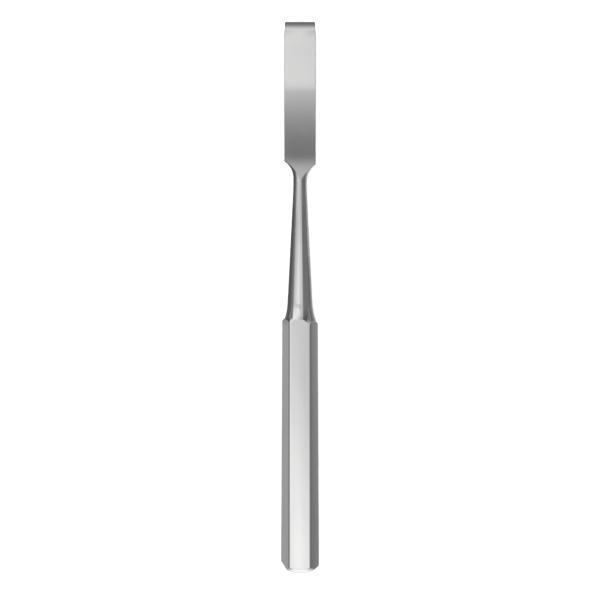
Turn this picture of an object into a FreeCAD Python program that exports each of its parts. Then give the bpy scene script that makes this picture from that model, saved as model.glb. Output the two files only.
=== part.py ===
import FreeCAD, Part
import math
import os

import Sketcher
from FreeCAD import Placement, Rotation, Vector

# A bone chisel, forged and ground from one bar of stainless steel.
# The part lies as it comes to rest, on the lower flat of its handle.
# X runs across the blade, +Y points to the cutting edge and +Z points up.
# The origin is under the middle of the part, on the surface that it lies on.
# Inside the body, Y is 0 at the cutting edge, so a station of 62 is at Y = -62.

os.makedirs("parts", exist_ok=True)
doc = FreeCAD.newDocument("bone_chisel")

# Driving sizes, in millimetres and degrees
SIZES = [
    ("overall_length", 240.0, "from the cutting edge to the crown of the struck end"),
    ("blade_width", 13.7, "across the blade"),
    ("blade_length", 62.2, "from the cutting edge to the farther shoulder"),
    ("shoulder_stagger", 1.4, "how much sooner the other shoulder comes"),
    ("shoulder_radius", 8.3, "hollow of each shoulder, seen from above"),
    ("blade_thickness", 1.6, "of the flat front of the blade"),
    ("flat_length", 25.2, "from the cutting edge to where the blade starts to thicken"),
    ("ramp_blend", 5.0, "length over which the flat front turns into the ramp"),
    ("ramp_share", 0.57, "of the ramp's mean slope is reached at its start"),
    ("ramp_setback", 4.7, "from the end of the ramp to the farther shoulder"),
    ("root_slope", 3.2, "mean slope from the end of the ramp to the waist"),
    ("bevel_angle", 31.5, "of the ground bevel to the blade's back"),
    ("heel_radius", 6.8, "of the rolled heel of the bevel"),
    ("edge_thickness", 0.2, "what the grinding leaves at the cutting edge"),
    ("tip_ease_length", 5.7, "length over which the blade narrows at its tip"),
    ("tip_ease", 0.25, "how much each side narrows there"),
    ("tip_corner_radius", 0.6, "of the two corners of the cutting edge"),
    ("long_edge_radius", 0.25, "of the four long edges of the blade"),
    ("waist_diameter", 5.77, "thinnest place of the neck"),
    ("waist_land", 0.3, "straight stretch of the waist behind the shoulders"),
    ("waist_run", 3.0, "half of the length over which the waist turns into the cone"),
    ("neck_diameter", 10.8, "of the cone where the flare begins"),
    ("flare_run", 7.55, "length of the flare below the handle"),
    ("flare_step", 0.07, "how far the end of the flare stays under the handle's flats"),
    ("flare_overrun", 0.1, "how far the flare runs on behind the edge of the flats"),
    ("flare_land", 0.85, "straight stretch behind the flare, where the leaning chamfer shows it"),
    ("handle_top", 129.85, "station where the handle's top chamfer meets the upper flat"),
    ("top_chamfer_angle", 45.0, "of the top chamfer to the handle's axis"),
    ("top_chamfer_lean", 4.5, "how far the top chamfer leans to one side"),
    ("handle_thickness", 14.0, "between the upper and the lower flat"),
    ("handle_flat", 9.25, "width of the upper and the lower flat between sharp corners"),
    ("neck_end_width", 15.7, "across the handle's sharp side corners at the neck"),
    ("struck_end_width", 16.9, "across the handle's sharp side corners at the struck end"),
    ("handle_edge_radius", 1.1, "of the handle's six long edges"),
    ("crown_radius", 14.0, "of the domed struck end"),
    ("near_chamfer_setback", 5.77, "from the crown to the start of the longer end chamfer"),
    ("near_chamfer_angle", 32.5, "of that chamfer to the handle's axis"),
    ("far_chamfer_setback", 3.55, "from the crown to the start of the shorter end chamfer"),
    ("far_chamfer_angle", 49.5, "of that chamfer to the handle's axis"),
    ("bar_overrun", 1.85, "how far the handle's bar starts inside the flare"),
    ("swell_margin", 0.12, "how far the swell outgrows the waist where the neck starts"),
    ("cutter_reach", 3.0, "how far every cutter runs past the stock"),
]

sheet = doc.addObject("Spreadsheet::Sheet", "sizes")
for row, (alias, size, meaning) in enumerate(SIZES, start=1):
    sheet.set(f"A{row}", meaning)
    sheet.set(f"B{row}", str(size))
    sheet.setAlias(f"B{row}", alias)
doc.recompute()

chisel = doc.addObject("PartDesign::Body", "chisel")
chisel.Label = "chisel"

# Sketch and feature helpers
LEFT_TURN = 1
RIGHT_TURN = -1


def number(expression):
    """What an expression in the sheet's names comes to now."""
    quantity = sheet.evalExpression(expression)
    return float(getattr(quantity, "Value", quantity))


def origin_plane(role):
    """One of the body's own three middle planes."""
    return [item for item in chisel.Origin.OriginFeatures if item.Role == role][0]


def new_sketch(name, plane, offset=None, turn=None):
    """An empty sketch on one of the body's planes, moved by offset and turned about its normal."""
    sketch = chisel.newObject("Sketcher::SketchObject", name)
    sketch.AttachmentSupport = [(origin_plane(plane), "")]
    sketch.MapMode = "FlatFace"
    if turn is not None:
        sketch.AttachmentOffset = Placement(Vector(0, 0, 0), Rotation(Vector(0, 0, 1), 1))
        sketch.setExpression("AttachmentOffset.Rotation.Angle", turn)
    for axis, expression in (offset or {}).items():
        sketch.setExpression(f"AttachmentOffset.Base.{axis}", expression)
    return sketch


def arc_centre(start, end, radius, turn):
    """Centre of the short arc from start to end that bends to the given side."""
    chord = end - start
    across = Vector(-chord.y, chord.x, 0).normalize()
    rise = math.sqrt(max(radius**2 - (chord.Length / 2) ** 2, 0))
    return (start + end) * 0.5 + across * rise * turn


def tangent_arc(start, end, heading):
    """Radius and turn of the arc that leaves start along heading and reaches end."""
    chord = end - start
    swing = heading.x * chord.y - heading.y * chord.x
    return chord.Length**2 / (2 * abs(swing)), LEFT_TURN if swing > 0 else RIGHT_TURN


def draw_outline(sketch, corners):
    """Draw a closed outline and pin each corner to its two expressions.

    A corner is (x, y) where a straight side follows it. It is (x, y, radius, turn) where an arc
    follows it, and (x, y, "tangent") where that arc leaves smoothly from the side before.
    """
    places = [Vector(number(corner[0]), number(corner[1]), 0) for corner in corners]
    heading = Vector(0, 0, 0)
    ends = []
    for index, corner in enumerate(corners):
        start = places[index]
        end = places[(index + 1) % len(corners)]
        if len(corner) == 2:
            side = sketch.addGeometry(Part.LineSegment(start, end))
            ends.append((side, 1, 2))
            heading = (end - start).normalize()
            continue
        if corner[2] == "tangent":
            radius, turn = tangent_arc(start, end, heading)
        else:
            radius, turn = number(corner[2]), corner[3]
        centre = arc_centre(start, end, radius, turn)
        first, last = (start, end) if turn == LEFT_TURN else (end, start)
        first_angle = math.atan2(first.y - centre.y, first.x - centre.x)
        last_angle = math.atan2(last.y - centre.y, last.x - centre.x)
        circle = Part.Circle(centre, Vector(0, 0, 1), radius)
        side = sketch.addGeometry(Part.ArcOfCircle(circle, first_angle, last_angle))
        ends.append((side, 1, 2) if turn == LEFT_TURN else (side, 2, 1))
        spoke = end - centre
        heading = Vector(-spoke.y, spoke.x, 0).normalize() * turn

    for index, corner in enumerate(corners):
        side, start_point, _ = ends[index]
        before, _, before_end = ends[index - 1]
        smooth = len(corner) > 2 and corner[2] == "tangent"
        joint = "Tangent" if smooth else "Coincident"
        sketch.addConstraint(Sketcher.Constraint(joint, before, before_end, side, start_point))
        if len(corner) > 2 and not smooth:
            rule = sketch.addConstraint(Sketcher.Constraint("Radius", side, number(corner[2])))
            sketch.setExpression(f"Constraints[{rule}]", corner[2])
        for kind, expression in (("DistanceX", corner[0]), ("DistanceY", corner[1])):
            rule = sketch.addConstraint(
                Sketcher.Constraint(kind, -1, 1, side, start_point, number(expression))
            )
            sketch.setExpression(f"Constraints[{rule}]", expression)
    doc.recompute()


def turned(kind, name, sketch, angle=360.0):
    """A Revolution or Groove of a sketch about the sketch's own upright axis."""
    feature = chisel.newObject(f"PartDesign::{kind}", name)
    feature.Profile = sketch
    feature.ReferenceAxis = (sketch, ["V_Axis"])
    feature.Angle = angle
    feature.Midplane = True
    doc.recompute()
    return feature


def cut_through(name, sketch):
    """Cut an outline in a middle plane both ways through everything."""
    feature = chisel.newObject("PartDesign::Pocket", name)
    feature.Profile = sketch
    feature.Midplane = True
    feature.Type = "ThroughAll"
    doc.recompute()
    return feature


def rounded(name, base, edges, radius):
    """Round the named edges of the feature before."""
    feature = chisel.newObject("PartDesign::Fillet", name)
    feature.Base = (base, edges)
    feature.setExpression("Radius", radius)
    doc.recompute()
    return feature


def edge_names(shape, wanted):
    """Names of the edges that pass a test."""
    return [f"Edge{index}" for index, edge in enumerate(shape.Edges, start=1) if wanted(edge)]


# Handle: a tapered six-sided bar with parallel upper and lower flats
def draw_hexagon(sketch, width):
    """The bar's section, with one corner at each side and a flat above and below."""
    half_flat = "sizes.handle_flat / 2"
    half_thick = "sizes.handle_thickness / 2"
    draw_outline(sketch, [
        (f"{width} / 2", "0"),
        (half_flat, half_thick),
        (f"-{half_flat}", half_thick),
        (f"-{width} / 2", "0"),
        (f"-{half_flat}", f"-{half_thick}"),
        (half_flat, f"-{half_thick}"),
    ])


# The bar starts inside the flare and runs past the crown, and the cutters trim both ends.
past_end = "(sizes.overall_length + sizes.cutter_reach)"
bar_start = "(sizes.handle_top - sizes.bar_overrun)"
neck_end_section = new_sketch("neck_end_section", "XZ_Plane", {"z": bar_start})
draw_hexagon(neck_end_section, "sizes.neck_end_width")
struck_end_section = new_sketch("struck_end_section", "XZ_Plane", {"z": past_end})
draw_hexagon(struck_end_section, "sizes.struck_end_width")

handle_bar = chisel.newObject("PartDesign::AdditiveLoft", "handle_bar")
handle_bar.Profile = neck_end_section
handle_bar.Sections = [struck_end_section]
handle_bar.Ruled = True
doc.recompute()


def runs_along_handle(edge):
    """True for the six long edges of the bar."""
    first, last = edge.Vertexes[0].Point, edge.Vertexes[-1].Point
    return abs(last.y - first.y) > 0.9 * edge.Length


handle_edges = edge_names(handle_bar.Shape, runs_along_handle)
soft_handle = rounded("soft_handle", handle_bar, handle_edges, "sizes.handle_edge_radius")

# Struck end: a domed crown, then two side chamfers of different slopes, as ground by hand
half_end = "(sizes.struck_end_width / 2)"
crown_depth = f"(sizes.crown_radius - sqrt(sizes.crown_radius^2 - {half_end}^2))"
crown_sketch = new_sketch("crown_sketch", "XY_Plane")
draw_outline(crown_sketch, [
    ("0", "-sizes.overall_length", "sizes.crown_radius", LEFT_TURN),
    (half_end, f"-sizes.overall_length + {crown_depth}"),
    (f"{half_end} + sizes.cutter_reach", f"-sizes.overall_length + {crown_depth}"),
    (f"{half_end} + sizes.cutter_reach", f"-{past_end}"),
    ("0", f"-{past_end}"),
])
crown = turned("Groove", "crown", crown_sketch)

# The chamfers stand upright, so they cut the side corners and leave the two flats at full length.
end_chamfer_sketch = new_sketch("end_chamfer_sketch", "XY_Plane")
for side, sign in (("near", "-"), ("far", "")):
    setback = f"sizes.{side}_chamfer_setback"
    slope = f"tan(sizes.{side}_chamfer_angle)"
    inner = f"({half_end} - ({setback} + sizes.cutter_reach) * {slope})"
    outer = f"({half_end} + sizes.cutter_reach)"
    draw_outline(end_chamfer_sketch, [
        (f"{sign}{outer}", f"-sizes.overall_length + {setback} + sizes.cutter_reach / {slope}"),
        (f"{sign}{inner}", f"-{past_end}"),
        (f"{sign}{outer}", f"-{past_end}"),
    ])
end_chamfers = cut_through("end_chamfers", end_chamfer_sketch)

# Handle's top chamfer: a cone that leans a little, as a hand grinder leaves it
top_radius = "(sizes.handle_thickness / 2)"
top_chamfer_sketch = new_sketch(
    "top_chamfer_sketch", "XY_Plane", {"y": "-sizes.handle_top"}, "-sizes.top_chamfer_lean")
draw_outline(top_chamfer_sketch, [
    (f"{top_radius} - sizes.cutter_reach", "sizes.cutter_reach / tan(sizes.top_chamfer_angle)"),
    (f"{top_radius} + sizes.cutter_reach", "-sizes.cutter_reach / tan(sizes.top_chamfer_angle)"),
    (f"{top_radius} + sizes.cutter_reach", "2 * sizes.cutter_reach"),
    (f"{top_radius} - sizes.cutter_reach", "2 * sizes.cutter_reach"),
])
top_chamfer = turned("Groove", "top_chamfer", top_chamfer_sketch)

# Neck: turned, with a thin waist, a long cone and a flare that runs in under the handle
shoulder_drop = "((sizes.blade_width - sizes.waist_diameter) / 2)"
shoulder_run = f"sqrt({shoulder_drop} * (2 * sizes.shoulder_radius - {shoulder_drop}))"
far_tangent = f"(sizes.blade_length + {shoulder_run})"
near_tangent = f"({far_tangent} - sizes.shoulder_stagger)"
neck_start = f"({far_tangent} + sizes.waist_land)"
waist_radius = "(sizes.waist_diameter / 2)"
flare_end = "(sizes.handle_top + sizes.flare_overrun)"
flare_start = f"({flare_end} - sizes.flare_run)"
cone_rise = "((sizes.neck_diameter - sizes.waist_diameter) / 2)"
cone_run = f"({flare_start} - {neck_start} - sizes.waist_run)"
cone_angle = f"atan({cone_rise} / {cone_run})"

neck_sketch = new_sketch("neck_sketch", "XY_Plane")
draw_outline(neck_sketch, [
    ("0", f"-{neck_start}"),
    (waist_radius, f"-{neck_start}", f"sizes.waist_run / tan({cone_angle} / 2)", LEFT_TURN),
    (f"{waist_radius} + sizes.waist_run * sin({cone_angle})",
     f"-{neck_start} - sizes.waist_run * (1 + cos({cone_angle}))"),
    ("sizes.neck_diameter / 2", f"-{flare_start}", "tangent"),
    (f"{top_radius} - sizes.flare_step", f"-{flare_end}"),
    (f"{top_radius} - sizes.flare_step", f"-{flare_end} - sizes.flare_land"),
    ("0", f"-{flare_end} - sizes.flare_land - {top_radius} + sizes.flare_step"),
])
neck = turned("Revolution", "neck", neck_sketch)

# Blade: seen from the side it is flat in front, rises in a hollow ramp and swells out to the neck.
# It reaches the waist's height where the farther shoulder ends, so both shoulders meet on its flats.
thin = "(sizes.blade_thickness / 2)"
ramp_end = "(sizes.blade_length - sizes.ramp_setback)"
root_start = f"({waist_radius} - ({far_tangent} - {ramp_end}) * tan(sizes.root_slope))"
ramp_run = f"({ramp_end} - sizes.flat_length - sizes.ramp_blend / 2)"
ramp_angle = f"(sizes.ramp_share * atan(({root_start} - {thin}) / {ramp_run}))"
side_sketch = new_sketch("side_sketch", "YZ_Plane")
draw_outline(side_sketch, [
    ("0", thin),
    ("-sizes.flat_length", thin, "tangent"),
    ("-sizes.flat_length - sizes.ramp_blend", f"{thin} + sizes.ramp_blend * tan({ramp_angle} / 2)",
     "tangent"),
    (f"-{ramp_end}", root_start, "tangent"),
    (f"-{far_tangent}", waist_radius),
    (f"-{neck_start}", f"{waist_radius} + sizes.swell_margin"),
    (f"-{neck_start}", "0"),
    ("0", "0"),
])
blade_slab = chisel.newObject("PartDesign::Pad", "blade_slab")
blade_slab.Profile = side_sketch
blade_slab.Midplane = True
blade_slab.setExpression("Length", "sizes.blade_width")
doc.recompute()

blade_stock = chisel.newObject("PartDesign::Mirrored", "blade_stock")
blade_stock.Originals = [blade_slab]
blade_stock.MirrorPlane = (origin_plane("XY_Plane"), [""])
chisel.Tip = blade_stock
doc.recompute()


def runs_along_blade(edge):
    """True for the long edges of the slab, above and below, at both sides."""
    half_width = number("sizes.blade_width / 2")
    first, last = edge.Vertexes[0].Point, edge.Vertexes[-1].Point
    at_side = all(abs(abs(point.x) - half_width) < 0.001 for point in (first, last))
    return at_side and abs(last.y - first.y) > 1 and max(abs(first.z), abs(last.z)) > 0.1


soft_blade = rounded(
    "soft_blade", blade_stock, edge_names(blade_stock.Shape, runs_along_blade), "sizes.long_edge_radius")

# Shoulders: each side is hollowed by a half turn, which also rounds the slab into the neck
for side, sign, tangent, turn in (
        ("near", "-", near_tangent, LEFT_TURN), ("far", "", far_tangent, RIGHT_TURN)):
    outer = f"({waist_radius} + sizes.shoulder_radius)"
    shoulder_sketch = new_sketch(f"{side}_shoulder_sketch", "XY_Plane")
    draw_outline(shoulder_sketch, [
        (f"{sign}{waist_radius}", f"-{neck_start}"),
        (f"{sign}{waist_radius}", f"-{tangent}", "sizes.shoulder_radius", turn),
        (f"{sign}{outer}", f"-{tangent} + sizes.shoulder_radius"),
        (f"{sign}{outer}", f"-{neck_start}"),
    ])
    turned("Groove", f"{side}_shoulder", shoulder_sketch, angle=180.0)

# Bevel: ground on the upper side only, and rolled over into the blade at its heel
bevel_run = "((sizes.blade_thickness - sizes.edge_thickness) / tan(sizes.bevel_angle))"
heel_run = "(sizes.heel_radius * tan(sizes.bevel_angle / 2))"
bevel_sketch = new_sketch("bevel_sketch", "YZ_Plane")
draw_outline(bevel_sketch, [
    (f"-{bevel_run} - {heel_run}", thin, "sizes.heel_radius", RIGHT_TURN),
    (f"-{bevel_run} + {heel_run} * cos(sizes.bevel_angle)",
     f"{thin} - {heel_run} * sin(sizes.bevel_angle)"),
    ("sizes.cutter_reach", f"{thin} - ({bevel_run} + sizes.cutter_reach) * tan(sizes.bevel_angle)"),
    ("sizes.cutter_reach", f"{thin} + sizes.cutter_reach"),
    (f"-{bevel_run} - {heel_run}", f"{thin} + sizes.cutter_reach"),
])
bevel = cut_through("bevel", bevel_sketch)

# Tip: the sides ease in a little and the two corners of the edge are rounded
half_width = "(sizes.blade_width / 2)"
ease_angle = "atan(sizes.tip_ease / sizes.tip_ease_length)"
corner_run = f"(sizes.tip_corner_radius / tan(45 deg + {ease_angle} / 2))"
tip_corner = f"({half_width} - sizes.tip_ease)"
tip_sketch = new_sketch("tip_sketch", "XY_Plane")
for sign, turn in (("-", RIGHT_TURN), ("", LEFT_TURN)):
    draw_outline(tip_sketch, [
        (f"{sign}{half_width}", "-sizes.tip_ease_length"),
        (f"{sign}({tip_corner} + {corner_run} * sin({ease_angle}))",
         f"-{corner_run} * cos({ease_angle})", "sizes.tip_corner_radius", turn),
        (f"{sign}({tip_corner} - {corner_run})", "0"),
        (f"{sign}({tip_corner} - {corner_run})", "sizes.cutter_reach"),
        (f"{sign}({half_width} + sizes.cutter_reach)", "sizes.cutter_reach"),
        (f"{sign}({half_width} + sizes.cutter_reach)", "-sizes.tip_ease_length"),
    ])
tip = cut_through("tip", tip_sketch)

# The body's cutting edge goes to the front, and its lower flat to the surface
chisel.setExpression("Placement.Base.y", "sizes.overall_length / 2")
chisel.setExpression("Placement.Base.z", "sizes.handle_thickness / 2")
doc.recompute()

# Nothing is written unless every object is sound
for item in doc.Objects:
    if "Invalid" in item.State or "Error" in item.State:
        raise RuntimeError(f"{item.Name} failed: {item.State}")
if chisel.Shape.isNull() or not chisel.Shape.isValid() or len(chisel.Shape.Solids) != 1:
    raise RuntimeError("the chisel is not one sound solid")

box = chisel.Shape.optimalBoundingBox()
print(f"chisel {box.XLength:.2f} x {box.YLength:.2f} x {box.ZLength:.2f} mm,"
      f" {chisel.Shape.Volume:.1f} mm3, {len(chisel.Shape.Faces)} faces")
chisel.Shape.exportStep("parts/chisel.step")
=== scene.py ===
# %% [markdown]
# A bone chisel of one piece of stainless steel, modelled as by hand inside a fixed CAD frame.
# The real tool is forged from one bar. The neck is turned, the blade and the handle are ground,
# and everything is polished by hand. This script makes the same forms in the same order.

# %% Load the fixed frame
import math

import bmesh
import bpy
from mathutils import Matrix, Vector


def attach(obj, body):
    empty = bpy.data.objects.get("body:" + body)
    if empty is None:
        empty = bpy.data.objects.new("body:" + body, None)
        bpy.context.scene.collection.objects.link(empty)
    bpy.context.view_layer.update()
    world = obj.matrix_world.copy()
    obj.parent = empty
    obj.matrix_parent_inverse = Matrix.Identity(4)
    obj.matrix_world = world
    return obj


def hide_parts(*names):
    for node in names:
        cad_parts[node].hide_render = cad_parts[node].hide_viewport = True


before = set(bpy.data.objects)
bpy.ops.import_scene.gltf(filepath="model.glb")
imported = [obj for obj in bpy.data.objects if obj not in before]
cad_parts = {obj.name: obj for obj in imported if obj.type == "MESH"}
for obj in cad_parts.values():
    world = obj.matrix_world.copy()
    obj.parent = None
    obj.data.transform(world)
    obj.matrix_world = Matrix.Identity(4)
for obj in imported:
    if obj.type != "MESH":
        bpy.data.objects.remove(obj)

bpy.context.view_layer.update()

# %% [markdown]
# Every size is a maker's size in millimetres, and Blender works in metres. Along the tool, places
# are given as stations: the distance behind the cutting edge. The tool lies on the lower flat of
# its handle, so its middle is half the handle's thickness above the floor. A hair is a thousandth
# of a millimetre: points that are closer than that count as one.

# %% Stations and the middle of the tool
MM = 0.001
HAIR = 1e-6
LENGTH = 240.0
THICKNESS = 14.0
MIDDLE = THICKNESS / 2 * MM
AXIS_POINT = (0, 0, MIDDLE)


def along(station):
    """Y of a station in millimetres behind the cutting edge."""
    return (LENGTH / 2 - station) * MM


print("cutting edge at Y", along(0), "and struck end at Y", along(LENGTH))

# %% [markdown]
# Blender's operators act on what is selected. So each step first drops the old selection and then
# picks its own points, edges or faces by a test on their place or direction.


# %% Start, pick and finish
def begin(kind, name, **settings):
    """Add a primitive on its own and open it in edit mode with nothing selected."""
    bpy.ops.object.select_all(action="DESELECT")
    getattr(bpy.ops.mesh, f"primitive_{kind}_add")(**settings)
    bpy.context.object.name = name
    bpy.ops.object.transform_apply(location=True, rotation=True, scale=True)
    bpy.ops.object.mode_set(mode="EDIT")
    bpy.ops.mesh.select_mode(type="VERT")
    bpy.ops.mesh.select_all(action="DESELECT")
    return bpy.context.object


def pick(kind, wanted):
    """Select the points, edges or faces that pass a test, and nothing else."""
    bpy.ops.mesh.select_mode(type=kind)
    bpy.ops.mesh.select_all(action="DESELECT")
    mesh = bpy.context.edit_object.data
    shape = bmesh.from_edit_mesh(mesh)
    parts = {"VERT": shape.verts, "EDGE": shape.edges, "FACE": shape.faces}[kind]
    chosen = [part for part in parts if wanted(part)]
    for part in chosen:
        part.select_set(True)
    shape.select_flush_mode()
    bmesh.update_edit_mesh(mesh)
    return len(chosen)


def cut(place, normal, **settings):
    """Bisect the whole open mesh with a plane."""
    bpy.ops.mesh.select_all(action="SELECT")
    bpy.ops.mesh.bisect(plane_co=place, plane_no=normal, threshold=HAIR / 10, **settings)


def finish_mesh():
    """Weld the open mesh, turn its faces outwards and leave edit mode."""
    bpy.ops.mesh.select_all(action="SELECT")
    bpy.ops.mesh.remove_doubles(threshold=HAIR)
    bpy.ops.mesh.normals_make_consistent(inside=False)
    bpy.ops.object.mode_set(mode="OBJECT")


def combine(piece, tool, operation):
    """Join, cut or keep the common part of two closed meshes, and remove the tool."""
    bpy.ops.object.select_all(action="DESELECT")
    bpy.context.view_layer.objects.active = piece
    piece.select_set(True)
    change = piece.modifiers.new("change", "BOOLEAN")
    change.operation = operation
    change.solver = "EXACT"
    change.object = tool
    bpy.ops.object.modifier_apply(modifier=change.name)
    bpy.data.objects.remove(tool)
    print(piece.name, operation.lower(), len(piece.data.polygons), "faces")


# %% [markdown]
# The handle is a six-sided bar. It could be a cylinder of six sides, but its flats are parallel
# while its side corners spread towards the struck end. A box whose sides are split at half height
# gives exactly that: the four side points are moved outwards, two at each end.

# %% Handle bar
FLAT_WIDTH = 9.25
NECK_END_WIDTH = 15.7
STRUCK_END_WIDTH = 16.9
BAR_START = 128.0
BAR_END = 243.0


def near(value, target):
    """True where two lengths in metres differ by less than a hair."""
    return abs(value - target) < HAIR


handle = begin(
    "cube", "handle", size=1,
    location=(0, along((BAR_START + BAR_END) / 2), MIDDLE),
    scale=(FLAT_WIDTH * MM, (BAR_END - BAR_START) * MM, THICKNESS * MM))
cut(AXIS_POINT, (0, 0, 1))
for station, width in ((BAR_START, NECK_END_WIDTH), (BAR_END, STRUCK_END_WIDTH)):
    count = pick("VERT", lambda point: near(point.co.z, MIDDLE) and near(point.co.y, along(station)))
    bpy.ops.transform.resize(
        value=(width / FLAT_WIDTH, 1, 1), center_override=(0, along(station), MIDDLE))
    print("side points at station", station, ":", count)

# %% [markdown]
# Steel that is held in the hand has no sharp corner. The six long edges are rounded to one radius.
# A bevel asks for the distance from the old edge, which is the radius times the tangent of half
# the turn. The turn differs between the edges of the flats and the side corners.

# %% Round the handle's long edges
EDGE_RADIUS = 1.1
ROUND_STEPS = 8
SHALLOW = math.radians(20)
LONG_CUTS = 23
side_lean = math.atan2(THICKNESS, (NECK_END_WIDTH + STRUCK_END_WIDTH) / 2 - FLAT_WIDTH)


def runs_along(edge):
    """True for an edge that runs along the tool."""
    way = edge.verts[1].co - edge.verts[0].co
    return abs(way.y) > 0.9 * way.length


for name, turn, wanted in (
        ("flat edges", side_lean, lambda z: not near(z, MIDDLE)),
        ("side corners", math.pi - 2 * side_lean, lambda z: near(z, MIDDLE))):
    count = pick("EDGE", lambda edge: runs_along(edge) and wanted(edge.verts[0].co.z)
                 and len(edge.link_faces) == 2
                 and edge.calc_face_angle() > SHALLOW)
    offset = EDGE_RADIUS * math.tan(turn / 2) * MM
    bpy.ops.mesh.bevel(offset=offset, offset_type="OFFSET", segments=ROUND_STEPS, profile=0.5)
    print(name, count, "rounded by", round(offset / MM, 3), "mm")

pick("EDGE", runs_along)
bpy.ops.mesh.subdivide(number_cuts=LONG_CUTS)
finish_mesh()
print("handle bar", len(handle.data.polygons), "faces")

# %% [markdown]
# Round forms are turned, as on a lathe. A single point is extruded along the straight stretches of
# the outline and spun round a centre for each arc. Then the whole outline is spun about the axis.

# %% Draw an outline and turn it
TURN_STEPS = 144


def draw_and_turn(name, start, moves):
    """Draw an outline of (station, radius) points and arcs, and spin it into a closed body.

    A move is (station, radius) for a straight stretch, and (station, radius, centre station,
    centre radius, steps) for an arc.
    """
    turned = begin("plane", name, size=MM, location=(start[1] * MM, along(start[0]), MIDDLE))
    bpy.ops.mesh.select_all(action="SELECT")
    bpy.ops.mesh.merge(type="CENTER")
    here = start
    for move in moves:
        there = move[:2]
        if len(move) == 2:
            step = ((there[1] - here[1]) * MM, (here[0] - there[0]) * MM, 0)
            bpy.ops.mesh.extrude_vertices_move(TRANSFORM_OT_translate={"value": step})
        else:
            centre = Vector((move[3], -move[2]))
            first = Vector((here[1], -here[0])) - centre
            last = Vector((there[1], -there[0])) - centre
            bpy.ops.mesh.spin(
                steps=move[4], angle=first.angle_signed(last), axis=(0, 0, 1),
                center=(centre.x * MM, (LENGTH / 2 + centre.y) * MM, MIDDLE))
        here = there
    bpy.ops.mesh.select_all(action="SELECT")
    bpy.ops.mesh.spin(steps=TURN_STEPS, angle=math.tau, axis=(0, 1, 0), center=AXIS_POINT)
    finish_mesh()
    print(name, "turned:", len(turned.data.polygons), "faces")
    return turned


# %% [markdown]
# The struck end is a low dome. The bar is cut to the common part with a turned plug that is wider
# than the bar everywhere but at the dome. Two side chamfers of different slopes follow. They are
# plain plane cuts, because each was ground in one pass.

# %% Dome and side chamfers of the struck end
CROWN_RADIUS = 14.0
CROWN_STEPS = 16
PLUG_START = 100.0
PLUG_RADIUS = 9.5
crown_centre = LENGTH - CROWN_RADIUS
plug_end = crown_centre + math.sqrt(CROWN_RADIUS ** 2 - PLUG_RADIUS ** 2)
plug = draw_and_turn("crown_plug", (PLUG_START, 0.0), [
    (PLUG_START, PLUG_RADIUS),
    (plug_end, PLUG_RADIUS),
    (LENGTH, 0.0, crown_centre, 0.0, CROWN_STEPS),
])
combine(handle, plug, "INTERSECT")

END_CHAMFERS = {"near": (-1, 5.77, 32.5), "far": (1, 3.55, 49.5)}
bpy.ops.object.mode_set(mode="EDIT")
for name, (side, setback, slope) in END_CHAMFERS.items():
    slope = math.radians(slope)
    start = (side * STRUCK_END_WIDTH / 2 * MM, along(LENGTH - setback), MIDDLE)
    cut(start, (side * math.cos(slope), -math.sin(slope), 0), use_fill=True, clear_outer=True)
    print(name, "chamfer starts at Y", round(start[1], 5))
finish_mesh()

# %% [markdown]
# Where the handle meets the neck, a cone is ground round it. It cuts a curved scallop into each
# flat. The cone leans a few degrees, because the tool was held by hand, so one side is cut
# further back than the other. Behind the cut its body is wider than the bar and takes nothing off.

# %% Cone chamfer at the handle's top
HANDLE_TOP = 129.85
LEAN = math.radians(4.5)
CONE_REACH = 3.0
BACK_SPREAD = 8.0
top_radius = THICKNESS / 2
cone = draw_and_turn("top_cone", (HANDLE_TOP - CONE_REACH, 0.0), [
    (HANDLE_TOP - CONE_REACH, top_radius - CONE_REACH),
    (HANDLE_TOP + CONE_REACH, top_radius + CONE_REACH),
    (BAR_END + CONE_REACH, top_radius + CONE_REACH + BACK_SPREAD),
    (BAR_END + CONE_REACH, 0.0),
])
bpy.ops.object.mode_set(mode="EDIT")
bpy.ops.mesh.select_all(action="SELECT")
bpy.ops.transform.rotate(
    value=LEAN, orient_axis="Z", center_override=(0, along(HANDLE_TOP), MIDDLE))
bpy.ops.object.mode_set(mode="OBJECT")
combine(handle, cone, "INTERSECT")

# %% [markdown]
# The blade starts as a flat bar. Rings are cut across it where its thickness changes, and each
# ring is scaled to the thickness it has there. From the front it is flat, then it rises in a
# hollow ramp, and a last fuller stretch reaches the height of the neck's waist. The stretches are
# arcs, and each one leaves at the slope at which the one before it ends.

# %% Thickness along the blade
BLADE_WIDTH = 13.7
BLADE_LENGTH = 62.2
THIN = 1.6 / 2
FLAT_LENGTH = 25.2
RAMP_BLEND = 5.0
RAMP_SHARE = 0.57
RAMP_SETBACK = 4.7
ROOT_SLOPE = math.radians(3.2)
WAIST = 5.77 / 2
SHOULDER_RADIUS = 8.3
STAGGER = 1.4
WAIST_LAND = 0.3
shoulder_drop = BLADE_WIDTH / 2 - WAIST
shoulder_run = math.sqrt(shoulder_drop * (2 * SHOULDER_RADIUS - shoulder_drop))
far_tangent = BLADE_LENGTH + shoulder_run
near_tangent = far_tangent - STAGGER
neck_start = far_tangent + WAIST_LAND
ramp_start = FLAT_LENGTH + RAMP_BLEND
ramp_end = BLADE_LENGTH - RAMP_SETBACK
root_height = WAIST - (far_tangent - ramp_end) * math.tan(ROOT_SLOPE)
mean_slope = math.atan2(root_height - THIN, ramp_end - FLAT_LENGTH - RAMP_BLEND / 2)
start_slope = RAMP_SHARE * mean_slope
start_height = THIN + RAMP_BLEND * math.tan(start_slope / 2)
ramp_chord = math.atan2(root_height - start_height, ramp_end - ramp_start)
end_slope = 2 * ramp_chord - start_slope


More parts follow.
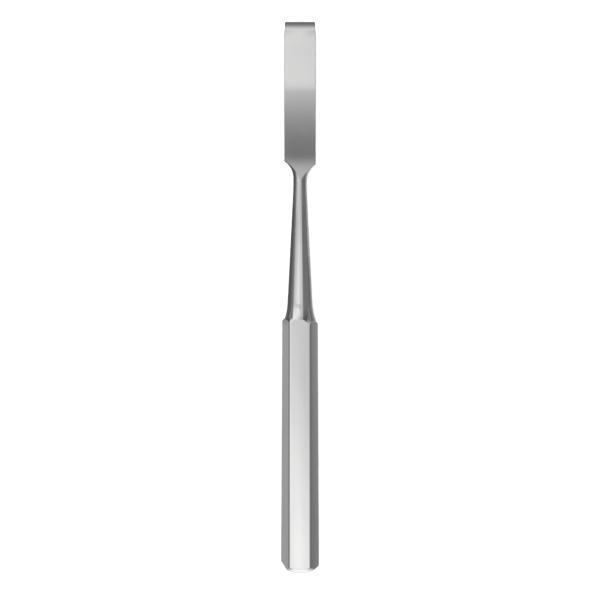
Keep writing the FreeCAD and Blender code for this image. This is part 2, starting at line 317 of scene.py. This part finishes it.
def arc_rise(start, end, heading, station):
    """Height at a station on the arc that leaves start at a heading and reaches end."""
    chord = Vector(end) - Vector(start)
    bend = 2 * math.sin(math.atan2(chord.y, chord.x) - heading) / chord.length
    if abs(bend) < 1e-9:
        return start[1] + (station - start[0]) * math.tan(heading)
    sine = math.sin(heading) + bend * (station - start[0])
    return start[1] + (math.cos(heading) - math.sqrt(1 - sine * sine)) / bend


def half_thickness(station):
    """Half the blade's thickness at a station, in millimetres."""
    if station <= FLAT_LENGTH:
        return THIN
    if station <= ramp_start:
        return arc_rise((FLAT_LENGTH, THIN), (ramp_start, start_height), 0.0, station)
    if station <= ramp_end:
        return arc_rise((ramp_start, start_height), (ramp_end, root_height), start_slope, station)
    return arc_rise((ramp_end, root_height), (far_tangent, WAIST), end_slope, station)


for station in (20, 35, 50, 60, far_tangent):
    print("half thickness at station", round(station, 2), ":", round(half_thickness(station), 3))

# %% [markdown]
# The bar runs on past the blade, because the neck is turned out of it later. There it only has to
# be larger than the neck, so the last rings quickly grow to a free size. Each ring is cut across
# the bar, and then its points are moved away from the axis by the change in thickness.

# %% Flat bar with rings scaled to thickness
BAR_OVERRUN = 80.0
FREE = 9.0
SPARE_HEIGHT = 0.12
RISE_RUN = 0.5
SPREAD_RUN = 1.5
BLEND_RINGS, RAMP_RINGS, ROOT_RINGS = 8, 20, 14
bar_length = neck_start + BAR_OVERRUN
blade = begin(
    "cube", "blade", size=1,
    location=(0, (along(bar_length) + along(0)) / 2, MIDDLE),
    scale=(BLADE_WIDTH * MM, bar_length * MM, 2 * THIN * MM))
flat_to_ramp = [FLAT_LENGTH + RAMP_BLEND * index / BLEND_RINGS for index in range(BLEND_RINGS + 1)]
ramp = [ramp_start + (ramp_end - ramp_start) * index / RAMP_RINGS for index in range(1, RAMP_RINGS + 1)]
root = [ramp_end + (far_tangent - ramp_end) * index / ROOT_RINGS for index in range(1, ROOT_RINGS + 1)]
rings = [(station, 1.0, half_thickness(station)) for station in flat_to_ramp + ramp + root]
rings.append((neck_start, 1.0, WAIST + SPARE_HEIGHT))
rings.append((neck_start + RISE_RUN, 1.0, FREE))
rings.append((neck_start + SPREAD_RUN, 2 * FREE / BLADE_WIDTH, FREE))
for station, _, _ in rings:
    cut((0, along(station), MIDDLE), (0, 1, 0))
for station, spread, height in rings:
    last = station == rings[-1][0]
    pick("VERT", lambda point: near(point.co.y, along(station)) or (last and point.co.y < along(station)))
    bpy.ops.transform.resize(value=(spread, 1, height / THIN), center_override=AXIS_POINT)
print("blade bar", len(rings), "rings")

# %% [markdown]
# The four long edges of the blade are rounded, only a little, so that they don't cut a glove.

# %% Round the blade's long edges
LONG_EDGE_RADIUS = 0.25
count = pick("EDGE", lambda edge: (
    all(near(abs(point.co.x), BLADE_WIDTH / 2 * MM) and point.co.y > along(neck_start) - HAIR
        for point in edge.verts)
    and abs(edge.verts[1].co.y - edge.verts[0].co.y) > 10 * HAIR))
bpy.ops.mesh.bevel(offset=LONG_EDGE_RADIUS * MM, offset_type="OFFSET", segments=ROUND_STEPS, profile=0.5)
print("rounded", count, "edges of the blade")

# %% [markdown]
# The cutting edge is ground on the upper side only. That makes it a chisel: the flat back guides
# it and the bevel lifts the chip. The grinder then rolls the heel, where bevel and blade meet. Each
# pass takes off a little less slope, so here it is a row of plane cuts that touch one arc. A ring
# behind the tip keeps them away from the rest of the bar.

# %% Ground bevel with a rolled heel
TIP_ZONE = 8.0
BEVEL_ANGLE = math.radians(31.5)
EDGE_THICKNESS = 0.2
HEEL_RADIUS = 6.8
HEEL_CUTS = 6
bevel_run = (2 * THIN - EDGE_THICKNESS) / math.tan(BEVEL_ANGLE)
heel_start = bevel_run + HEEL_RADIUS * math.tan(BEVEL_ANGLE / 2)
heel_centre = Vector((0, along(heel_start), MIDDLE + (THIN - HEEL_RADIUS) * MM))
cut((0, along(TIP_ZONE), MIDDLE), (0, 1, 0))


def trim_tip(centre, radius, facing):
    """Cut the tip with a plane that touches an arc where the arc faces this way."""
    pick("FACE", lambda face: face.calc_center_median().y > along(TIP_ZONE))
    bpy.ops.mesh.bisect(
        plane_co=centre + facing * radius * MM, plane_no=facing, threshold=HAIR / 10,
        use_fill=True, clear_outer=True)


for index in range(HEEL_CUTS):
    lean = BEVEL_ANGLE * (1 - index / HEEL_CUTS)
    trim_tip(heel_centre, HEEL_RADIUS, Vector((0, math.sin(lean), math.cos(lean))))
heel_line = heel_start - HEEL_RADIUS * math.tan(BEVEL_ANGLE / HEEL_CUTS / 2)
print("bevel", round(bevel_run, 2), "mm long, heel rolled up to station", round(heel_start, 2))

# %% [markdown]
# Near the edge the blade narrows by a hair, and its two corners are rounded, so that they don't
# tear. Both are plane cuts again: one long one, and a fan of short ones round each corner.

# %% Ease the tip's sides and round its corners
TIP_EASE_LENGTH = 5.7
TIP_EASE = 0.25
TIP_CORNER_RADIUS = 0.6
CORNER_CUTS = 9
ease = math.atan2(TIP_EASE, TIP_EASE_LENGTH)
side_turn = math.pi / 2 - ease
corner_run = TIP_CORNER_RADIUS * math.tan(side_turn / 2)
corner_x = BLADE_WIDTH / 2 - TIP_EASE - corner_run
for side in (-1, 1):
    corner = Vector((side * corner_x * MM, along(TIP_CORNER_RADIUS), MIDDLE))
    for index in range(1, CORNER_CUTS + 1):
        turn = side_turn * index / CORNER_CUTS
        trim_tip(corner, TIP_CORNER_RADIUS, Vector((side * math.sin(turn), math.cos(turn), 0)))
finish_mesh()
print("blade", len(blade.data.polygons), "faces")

# %% [markdown]
# The shoulders are the hard part of this tool. Each one is hollowed by a wheel that is carried
# half round the blade, and the two sides are ground one after the other, so they don't match.
# So there are two turned outlines. They differ in the place of the shoulder, and both go on into
# the same waist, long cone and flare.

# %% Neck outline with one shoulder
BLANK_START = -3.0
JOIN_STEP = 0.001
SHOULDER_STEPS, WAIST_STEPS, FLARE_STEPS = 32, 6, 14
NECK_DIAMETER = 10.8
FLARE_RUN = 7.55
FLARE_STEP = 0.07
FLARE_OVERRUN = 0.1
FLARE_LAND = 0.85
WAIST_RUN = 3.0
flare_end = HANDLE_TOP + FLARE_OVERRUN
flare_start = flare_end - FLARE_RUN
cone_angle = math.atan2(NECK_DIAMETER / 2 - WAIST, flare_start - neck_start - WAIST_RUN)
waist_arc = WAIST_RUN / math.tan(cone_angle / 2)
outer = WAIST + SHOULDER_RADIUS
flare_radius = top_radius - FLARE_STEP
flare_chord = Vector((FLARE_RUN, flare_radius - NECK_DIAMETER / 2))
flare_arc = flare_chord.length / 2 / math.sin(math.atan2(flare_chord.y, flare_chord.x) - cone_angle)


def neck_blank(name, tangent):
    """The turned form of one side: its shoulder, then the neck that both sides share."""
    return draw_and_turn(name, (BLANK_START, 0.0), [
        (BLANK_START, outer),
        (tangent - SHOULDER_RADIUS, outer),
        (tangent, WAIST, tangent, outer, SHOULDER_STEPS),
        (far_tangent + JOIN_STEP, WAIST),
        (neck_start, WAIST),
        (neck_start + waist_arc * math.sin(cone_angle), WAIST + waist_arc * (1 - math.cos(cone_angle)),
         neck_start, WAIST + waist_arc, WAIST_STEPS),
        (flare_start, NECK_DIAMETER / 2),
        (flare_end, flare_radius, flare_start - flare_arc * math.sin(cone_angle),
         NECK_DIAMETER / 2 + flare_arc * math.cos(cone_angle), FLARE_STEPS),
        (flare_end + FLARE_LAND, flare_radius),
        (flare_end + FLARE_LAND + flare_radius, 0.0),
    ])


# %% [markdown]
# The bar is copied and cut to the common part with each outline. Of each copy only the half with
# its own shoulder is kept, and the two halves are welded along the middle.

# %% Cut both halves and weld them
halves = []
for side, name, tangent in ((-1, "near_half", near_tangent), (1, "far_half", far_tangent)):
    half = blade.copy()
    half.data = blade.data.copy()
    half.name = name
    bpy.context.scene.collection.objects.link(half)
    combine(half, neck_blank(f"{name}_blank", tangent), "INTERSECT")
    bpy.ops.object.mode_set(mode="EDIT")
    cut(AXIS_POINT, (side, 0, 0), clear_inner=True)
    bpy.ops.object.mode_set(mode="OBJECT")
    halves.append(half)
bpy.data.objects.remove(blade)

bpy.ops.object.select_all(action="DESELECT")
for half in halves:
    half.select_set(True)
chisel = halves[1]
bpy.context.view_layer.objects.active = chisel
bpy.ops.object.join()
chisel.name = "polished_chisel"
bpy.ops.object.mode_set(mode="EDIT")
bpy.ops.mesh.select_all(action="SELECT")
bpy.ops.mesh.remove_doubles(threshold=2 * HAIR)
bpy.ops.mesh.select_all(action="DESELECT")
bpy.ops.mesh.select_mode(type="EDGE")
bpy.ops.mesh.select_non_manifold()
open_edges = bmesh.from_edit_mesh(chisel.data)
print("open edges after the weld:", sum(edge.select for edge in open_edges.edges))
finish_mesh()

# %% [markdown]
# Handle and neck become one solid, as on the real tool, where they were never apart. Smooth
# shading by angle keeps the ground creases crisp. The line where the rolled heel begins is too
# shallow for that, so it is marked sharp. Weighted normals then keep the flats flat up to
# their rounded edges, so that they mirror like flats.

# %% Join and shade
CREASE = math.radians(12)
FLAT_PULL = 80
combine(chisel, handle, "UNION")
bpy.ops.object.mode_set(mode="EDIT")
count = pick("EDGE", lambda edge: all(near(point.co.y, along(heel_line)) for point in edge.verts))
bpy.ops.mesh.mark_sharp()
print("heel line marked on", count, "edges")
finish_mesh()
bpy.ops.object.shade_smooth_by_angle(angle=CREASE)
evened = chisel.modifiers.new("evened", "WEIGHTED_NORMAL")
evened.keep_sharp = True
evened.weight = FLAT_PULL
bpy.ops.object.modifier_apply(modifier=evened.name)
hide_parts("chisel")
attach(chisel, "root")
print("chisel", len(chisel.data.vertices), "points", len(chisel.data.polygons), "faces")

# %% [markdown]
# Steel has no colour of its own to paint: nearly all that is seen is what it mirrors. So the work
# goes into how sharply it mirrors. The material is one metal whose roughness changes along the
# tool. Each change is a curve along Y, drawn as a few pairs of a place and a value. Places in a
# material are in metres, because that is what Object coordinates give.

# %% Shader helpers
def node(tree, kind, place, **values):
    """Add a shader node at a place in the editor and set its own values."""
    added = tree.nodes.new(kind)
    added.location = place
    for name, value in values.items():
        setattr(added, name, value)
    return added


def feed(tree, sockets):
    """Give each socket either a plain value or a link from another node's output."""
    for socket, value in sockets:
        if isinstance(value, bpy.types.NodeSocket):
            tree.links.new(value, socket)
        else:
            socket.default_value = value


def sums(tree, operation, first, second, place):
    """One sum of two values, each a number or an output."""
    worked = node(tree, "ShaderNodeMath", place, operation=operation)
    feed(tree, ((worked.inputs[0], first), (worked.inputs[1], second)))
    return worked.outputs[0]


def curve(tree, measure, points, place):
    """An output that follows a smooth curve through (measure, value) points."""
    low, high = points[0][0], points[-1][0]
    spread = node(tree, "ShaderNodeMapRange", place)
    feed(tree, ((spread.inputs["Value"], measure),
                (spread.inputs["From Min"], low), (spread.inputs["From Max"], high)))
    ramp = node(tree, "ShaderNodeValToRGB", (place[0] + 200, place[1]))
    ramp.color_ramp.interpolation = "EASE"
    while len(ramp.color_ramp.elements) < len(points):
        ramp.color_ramp.elements.new(0.5)
    for stop, (spot, value) in zip(ramp.color_ramp.elements, points):
        stop.position = (spot - low) / (high - low)
        stop.color = (value, value, value, 1)
    tree.links.new(spread.outputs[0], ramp.inputs[0])
    return ramp.outputs[0]


def fade(tree, measure, start, end, before, after, place):
    """Change smoothly from one value to another as a coordinate grows."""
    eased = node(tree, "ShaderNodeMapRange", place, interpolation_type="SMOOTHSTEP")
    feed(tree, ((eased.inputs["Value"], measure), (eased.inputs["From Min"], start),
                (eased.inputs["From Max"], end), (eased.inputs["To Min"], before),
                (eased.inputs["To Max"], after)))
    return eased.outputs[0]


def axes(tree):
    """The Object coordinates of a surface, and the same split into X, Y and Z."""
    spot = node(tree, "ShaderNodeTexCoord", (-1800, 0)).outputs["Object"]
    split = node(tree, "ShaderNodeSeparateXYZ", (-1600, 0))
    tree.links.new(spot, split.inputs[0])
    return spot, split.outputs


def grain(tree, spot, stretch, detail, place):
    """Cloudy noise whose grain has the given number of lumps per metre along X, Y and Z."""
    scaled = node(tree, "ShaderNodeMapping", place)
    scaled.inputs["Scale"].default_value = stretch
    cloud = node(tree, "ShaderNodeTexNoise", (place[0] + 200, place[1]))
    cloud.inputs["Scale"].default_value = 1.0
    cloud.inputs["Detail"].default_value = detail
    tree.links.new(spot, scaled.inputs["Vector"])
    tree.links.new(scaled.outputs[0], cloud.inputs["Vector"])
    return cloud.outputs["Fac"]


# %% [markdown]
# The handle is buffed bright, the neck is a little duller near its waist where a wheel can't
# reach well, and the blade has a fine satin. The struck end is dulled by the mallet. The finish
# is a little patchy, as hand work is, and least so on the blade. Round the waist the steel's
# colour is also darkened: that is painted shade.

# %% Stainless steel: colour and roughness
PATCH_GRAIN = (220, 60, 220)
TINT_GRAIN = (90, 35, 90)
GRAIN_MEAN = 0.5
DARKER_STEEL = (0.700, 0.702, 0.702, 1)
LIGHTER_STEEL = (0.742, 0.740, 0.732, 1)
steel = bpy.data.materials.new("ground_and_buffed_steel")
steel.use_nodes = True
tree = steel.node_tree
shader = tree.nodes["Principled BSDF"]
shader.inputs["Metallic"].default_value = 1.0
spot, (across, lengthways, _) = axes(tree)

finish = curve(tree, lengthways, [
    (-0.120, 0.20), (-0.116, 0.10), (-0.011, 0.09), (-0.004, 0.21), (0.010, 0.17), (0.030, 0.17),
    (0.047, 0.31), (0.054, 0.20), (0.062, 0.12), (0.106, 0.12), (0.116, 0.09)], (-1400, -200))
patches = grain(tree, spot, PATCH_GRAIN, 4.0, (-1400, -500))
patches = sums(tree, "SUBTRACT", patches, GRAIN_MEAN, (-1100, -500))
patchy = curve(tree, lengthways, [(0.040, 0.06), (0.066, 0.012)], (-1400, -350))
uneven = sums(tree, "MULTIPLY", patches, patchy, (-900, -400))
feed(tree, ((shader.inputs["Roughness"], sums(tree, "ADD", finish, uneven, (-700, -300))),))

cloud = grain(tree, spot, TINT_GRAIN, 3.0, (-1400, 400))
tint = node(tree, "ShaderNodeMix", (-700, 400), data_type="RGBA")
feed(tree, ((tint.inputs["Factor"], cloud), (tint.inputs["A"], DARKER_STEEL),
            (tint.inputs["B"], LIGHTER_STEEL)))
# Painted shade: the steel's colour is darkened round the neck's waist.
painted_waist_shade = curve(tree, lengthways, [
    (0.018, 1.0), (0.040, 0.87), (0.050, 0.81), (0.057, 0.88), (0.063, 1.0)], (-1400, 700))
tint_with_painted_shade = node(tree, "ShaderNodeMix", (-300, 500), data_type="RGBA", blend_type="MULTIPLY")
feed(tree, ((tint_with_painted_shade.inputs["Factor"], 1.0), (tint_with_painted_shade.inputs["A"], tint.outputs["Result"]),
            (tint_with_painted_shade.inputs["B"], painted_waist_shade)))
tree.links.new(tint_with_painted_shade.outputs["Result"], shader.inputs["Base Color"])

# %% [markdown]
# Four kinds of unevenness lie over each other, from coarse to fine. Flats that were buffed by
# hand are slightly crowned, and near the struck end two passes meet in a faint ridge. They are
# wavy over a centimetre or so, and fine lines run along the tool. Each one is a height in metres
# that a Bump node turns into slopes.

# %% Stainless steel: crown, ridge, waves and fine lines
CROWN = -2.2
RIDGE_X = 0.0006
RIDGE = 0.006
WAVES = 0.00009
LINES = 0.0000016
WAVE_GRAIN = (110, 30, 110)
LINE_GRAIN = (2600, 30, 2600)
on_handle = curve(tree, lengthways, [(-0.014, 1.0), (-0.006, 0.0)], (-1400, -800))
square = sums(tree, "MULTIPLY", across, across, (-1200, -900))
square = sums(tree, "MULTIPLY", square, on_handle, (-900, -900))
crowned = sums(tree, "MULTIPLY", square, CROWN, (-700, -900))
from_ridge = sums(tree, "SUBTRACT", across, RIDGE_X, (-1400, -1800))
from_ridge = sums(tree, "ABSOLUTE", from_ridge, 0.0, (-1200, -1800))
at_end = curve(tree, lengthways, [(-0.110, RIDGE), (-0.040, 0.0)], (-1400, -2000))
ridge = sums(tree, "MULTIPLY", from_ridge, at_end, (-900, -1900))
crowned = sums(tree, "SUBTRACT", crowned, ridge, (-500, -900))
calmer = curve(tree, lengthways, [(-0.010, 1.0), (0.050, 0.08)], (-1400, -1050))
waves = grain(tree, spot, WAVE_GRAIN, 1.0, (-1400, -1200))
waves = sums(tree, "MULTIPLY", waves, WAVES, (-700, -1200))
waves = sums(tree, "MULTIPLY", waves, calmer, (-600, -1150))
lines = grain(tree, spot, LINE_GRAIN, 2.0, (-1400, -1500))
lines = sums(tree, "MULTIPLY", lines, LINES, (-700, -1500))
height = sums(tree, "ADD", sums(tree, "ADD", crowned, waves, (-500, -1000)), lines, (-300, -1100))
bump = node(tree, "ShaderNodeBump", (-100, -900))
bump.inputs["Strength"].default_value = 1.0
bump.inputs["Distance"].default_value = 1.0
tree.links.new(height, bump.inputs["Height"])
tree.links.new(bump.outputs[0], shader.inputs["Normal"])
chisel.data.materials.clear()
chisel.data.materials.append(steel)
print("steel nodes", len(tree.nodes))

# %% [markdown]
# The tool lies on white paper. Polished steel shows the paper again in its side faces, and in a
# studio that paper is partly shaded by cards. Here that shade is painted: a ray that comes off
# polished steel sees the paper glow in painted shade, and a plain look sees white paper. The
# painted shade is deepest to the left of the neck and a few centimetres out on both sides, and the
# paper glows bright before the edge and behind the struck end, which is painted light.
# The floor lies a little below the tool, because two faces in one plane would flicker.

# %% Floor
FLOOR_GAP = 0.1 * MM
FLOOR_SIZE = 8
PAPER_WHITE = (0.93, 0.93, 0.93, 1)
bpy.ops.object.select_all(action="DESELECT")
bpy.ops.mesh.primitive_plane_add(size=FLOOR_SIZE, location=(0, 0, -FLOOR_GAP))
floor = bpy.context.object
floor.name = "studio_floor"
paper = bpy.data.materials.new("white_paper")
paper.use_nodes = True
tree = paper.node_tree
sheet = tree.nodes["Principled BSDF"]
sheet.inputs["Base Color"].default_value = PAPER_WHITE
sheet.inputs["Roughness"].default_value = 0.8
_, (across, lengthways, _) = axes(tree)

# Painted shade and painted light: the glow that mirrored rays see on the paper.
left = fade(tree, lengthways, -0.014, -0.002, 0.44, 0.11, (-1200, -100))
far_right = fade(tree, lengthways, 0.008, 0.028, 0.23, 0.56, (-1500, -500))
right = fade(tree, across, 0.008, 0.024, 0.50, far_right, (-1200, -400))
sides = fade(tree, across, -0.006, 0.006, left, right, (-900, -300))
from_middle = sums(tree, "ABSOLUTE", across, 0.0, (-1200, -600))
faded = fade(tree, across, -0.031, -0.022, 0.12, sides, (-900, -500))
faded = fade(tree, across, 0.026, 0.045, faded, 0.15, (-750, -300))
behind = fade(tree, from_middle, 0.006, 0.010, 1.25, faded, (-750, -500))
painted_paper_shade = fade(tree, lengthways, -0.127, -0.121, behind, faded, (-600, -300))
painted_paper_shade = fade(tree, lengthways, 0.127, 0.150, painted_paper_shade, 1.0, (-400, -300))
shaded = node(tree, "ShaderNodeEmission", (0, -300))
tree.links.new(painted_paper_shade, shaded.inputs["Strength"])
rays = node(tree, "ShaderNodeLightPath", (0, 300))
choice = node(tree, "ShaderNodeMixShader", (300, 0))
tree.links.new(rays.outputs["Is Glossy Ray"], choice.inputs[0])
tree.links.new(sheet.outputs[0], choice.inputs[1])
tree.links.new(shaded.outputs[0], choice.inputs[2])
tree.links.new(choice.outputs[0], tree.nodes["Material Output"].inputs["Surface"])
floor.data.materials.append(paper)

# %% [markdown]
# A small white card stands upright to the left of the neck. The chamfer at the handle's top
# mirrors it where it meets the flare. It glows on its front only and stands nearly edge on to the
# neck, so that the neck mirrors nothing of it and keeps its dark side.

# %% White card beside the neck
CARD_STATION = 108.0
CARD_LEFT, CARD_RIGHT = -15.2, -6.8
CARD_FOOT, CARD_TOP = 2.0, 11.5
CARD_TURN = math.radians(-9)
bpy.ops.object.select_all(action="DESELECT")
bpy.ops.mesh.primitive_plane_add(
    size=1, rotation=(math.pi / 2, 0, CARD_TURN),
    location=((CARD_LEFT + CARD_RIGHT) / 2 * MM, along(CARD_STATION), (CARD_FOOT + CARD_TOP) / 2 * MM))
card = bpy.context.object
card.name = "white_card"
card.scale = ((CARD_RIGHT - CARD_LEFT) * MM, (CARD_TOP - CARD_FOOT) * MM, 1)
bpy.ops.object.transform_apply(location=True, rotation=True, scale=True)
board = bpy.data.materials.new("white_board")
board.use_nodes = True
tree = board.node_tree
tree.nodes.clear()
side = node(tree, "ShaderNodeNewGeometry", (0, 200))
front = node(tree, "ShaderNodeEmission", (0, 0))
back = node(tree, "ShaderNodeBsdfTransparent", (0, -200))
choice = node(tree, "ShaderNodeMixShader", (200, 0))
feed(tree, ((choice.inputs[0], side.outputs["Backfacing"]), (choice.inputs[1], front.outputs[0]),
            (choice.inputs[2], back.outputs[0])))
tree.links.new(choice.outputs[0], node(tree, "ShaderNodeOutputMaterial", (400, 0)).inputs["Surface"])
card.data.materials.append(board)
card.visible_camera = False
card.visible_diffuse = False
card.visible_shadow = False

# %% [markdown]
# Polished metal is lit by what stands round it, so the light is one wide sheet overhead. It is
# brightest a little to the left and ends to the right. A soft shade hangs in it where the camera
# stands in a real studio, with a weaker one to its left, and the ramp of the blade mirrors both.
# The light is also dimmer at the left behind the struck end, which shades the left edge of the
# handle's upper flat. Far ahead the middle is dim, which darkens the bevel, and both sides are
# bright for looks at the tool from low down.

# %% Overhead light
LIGHT_HEIGHT = 1.5
AHEAD_LIGHT = 1.10


def seen(angle):
    """Where a line that leans by this many degrees meets the sheet of light."""
    return LIGHT_HEIGHT * math.tan(math.radians(angle))


LEFT_END, RIGHT_END, BACK_END, FRONT_END = seen(-62), seen(66), -2.2, seen(66)
bpy.ops.object.select_all(action="DESELECT")
bpy.ops.mesh.primitive_plane_add(
    size=1, location=((LEFT_END + RIGHT_END) / 2, (BACK_END + FRONT_END) / 2, LIGHT_HEIGHT))
overhead = bpy.context.object
overhead.name = "overhead_light"
overhead.scale = (RIGHT_END - LEFT_END, FRONT_END - BACK_END, 1)
bpy.ops.object.transform_apply(location=True, rotation=True, scale=True)

silk = bpy.data.materials.new("lit_silk")
silk.use_nodes = True
tree = silk.node_tree
tree.nodes.clear()
_, (across, lengthways, _) = axes(tree)
sideways = curve(tree, across, [
    (LEFT_END, 0.72), (seen(-40), 0.88), (seen(-18), 1.07), (seen(-8), 1.07), (seen(-2.3), 0.87),
    (seen(0), 0.79), (seen(2.3), 0.70), (seen(20), 0.69), (seen(25), 0.65), (seen(27), 0.19),
    (RIGHT_END, 0.19)], (-1300, 200))
forwards = curve(tree, lengthways, [
    (BACK_END, 1.25), (-0.24, 1.60), (-0.03, 1.00), (0.08, 1.14), (seen(5.5), 1.19), (seen(8.6), 1.25),
    (seen(9.8), 0.89), (seen(12), 0.88), (seen(15), 1.17), (seen(24), 1.08), (seen(40), 0.72),
    (seen(52), 0.38), (FRONT_END, 0.25)], (-1300, -100))
beside = sums(tree, "ABSOLUTE", across, 0.0, (-1300, -400))
near_middle = curve(tree, beside, [(0.05, 1.0), (0.19, 0.0)], (-1100, -400))
under_camera = curve(tree, lengthways, [
    (seen(8.9), 0.0), (seen(9.8), 0.26), (seen(10.5), 0.56), (seen(11.5), 0.78), (seen(12.5), 0.91),
    (seen(14), 0.91), (seen(16.5), 0.0)], (-1300, -700))
shade = sums(tree, "MULTIPLY", near_middle, under_camera, (-600, -500))
leftwards = curve(tree, across, [(seen(-6), 1.0), (seen(-2), 0.0)], (-1300, -1000))
dip = curve(tree, lengthways, [
    (seen(6.6), 0.0), (seen(7.6), 0.17), (seen(8.5), 0.38), (seen(9.4), 0.60), (seen(12), 0.60),
    (seen(15), 0.0)], (-1300, -1300))
left_shade = sums(tree, "MULTIPLY", leftwards, dip, (-600, -1000))
rear_left = sums(tree, "MULTIPLY", fade(tree, across, seen(-4), seen(-1), 0.29, 0.0, (-1100, -1600)),
                 fade(tree, lengthways, -0.22, -0.10, 1.0, 0.0, (-1100, -1900)), (-600, -1700))
left_shade = sums(tree, "MAXIMUM", left_shade, rear_left, (-500, -1300))
clear = sums(tree, "MULTIPLY", sums(tree, "SUBTRACT", 1.0, shade, (-400, -500)),
             sums(tree, "SUBTRACT", 1.0, left_shade, (-400, -1000)), (-300, -500))
above = sums(tree, "MULTIPLY", sideways, forwards, (-400, 0))
above = sums(tree, "MULTIPLY", above, clear, (-200, -100))
ahead_start = fade(tree, across, -0.3, 0.3, seen(18), seen(50), (-900, 400))
ahead_end = fade(tree, across, -0.3, 0.3, seen(32), seen(60), (-900, 600))
ahead = sums(tree, "MULTIPLY", fade(tree, lengthways, ahead_start, ahead_end, 0.0, 1.0, (-600, 300)),
             fade(tree, beside, 0.35, 0.9, 0.0, 1.0, (-600, 600)), (-300, 400))
strength = node(tree, "ShaderNodeMix", (-100, 200))
feed(tree, ((strength.inputs["Factor"], ahead), (strength.inputs["A"], above),
            (strength.inputs["B"], AHEAD_LIGHT)))
glow = node(tree, "ShaderNodeEmission", (100, 0))
tree.links.new(strength.outputs["Result"], glow.inputs["Strength"])
tree.links.new(glow.outputs[0], node(tree, "ShaderNodeOutputMaterial", (300, 0)).inputs["Surface"])
overhead.data.materials.append(silk)
overhead.visible_camera = False
overhead.visible_shadow = False

# %% [markdown]
# The paper gets a lamp of its own that steel doesn't mirror, so it turns white while the steel
# keeps its tones. The room itself is a dull grey, and that is the dark line along each rim. Only
# the wall behind the struck end and a low strip of the wall ahead are lit, so that the tool also
# gleams when it is seen along its length.

# %% Paper lamp and room
PAPER_LIGHT = 3.0
PAPER_LIGHT_HEIGHT = 1.2
PAPER_RADIANCE = 2.0
glare = bpy.data.lights.new("paper_lamp", "AREA")
glare.size = PAPER_LIGHT
glare.energy = PAPER_RADIANCE * math.pi * PAPER_LIGHT ** 2
lamp = bpy.data.objects.new("paper_lamp", glare)
lamp.location = (0, 0, PAPER_LIGHT_HEIGHT)
lamp.visible_camera = False
lamp.visible_glossy = False
bpy.context.scene.collection.objects.link(lamp)

room = bpy.data.worlds.new("grey_room")
room.use_nodes = True
tree = room.node_tree
outlook = node(tree, "ShaderNodeTexCoord", (-900, 0)).outputs["Generated"]
ways = node(tree, "ShaderNodeSeparateXYZ", (-700, 0))
tree.links.new(outlook, ways.inputs[0])
walls = fade(tree, ways.outputs["Y"], -0.75, -0.25, 0.85, 0.22, (-500, 0))
horizon = fade(tree, ways.outputs["Z"], 0.10, 0.22, 0.90, walls, (-500, -300))
lit_room = fade(tree, ways.outputs["Y"], 0.80, 0.95, walls, horizon, (-300, 0))
tree.links.new(lit_room, tree.nodes["Background"].inputs["Color"])
bpy.context.scene.world = room
bpy.context.scene.view_settings.view_transform = "Standard"

# %% [markdown]
# The camera looks straight down from a distance with a long lens, as for a catalogue. The lens
# follows from the width of the picture, which is 600 pixels of 0.4353 mm each.

# %% Camera
PICTURE_WIDTH = 600
PIXEL = 0.43526 * MM
VIEW_WIDTH = PICTURE_WIDTH * PIXEL
DISTANCE = 1.8
VIEW_CENTRE = -1.1 * MM
SENSOR_WIDTH = 36
eye = bpy.data.cameras.new("camera")
eye.sensor_width = SENSOR_WIDTH
eye.lens = eye.sensor_width * DISTANCE / VIEW_WIDTH
camera = bpy.data.objects.new("camera", eye)
camera.location = (0, VIEW_CENTRE, MIDDLE + DISTANCE)
bpy.context.scene.collection.objects.link(camera)
bpy.context.scene.camera = camera
print("lens", round(eye.lens, 1), "mm")
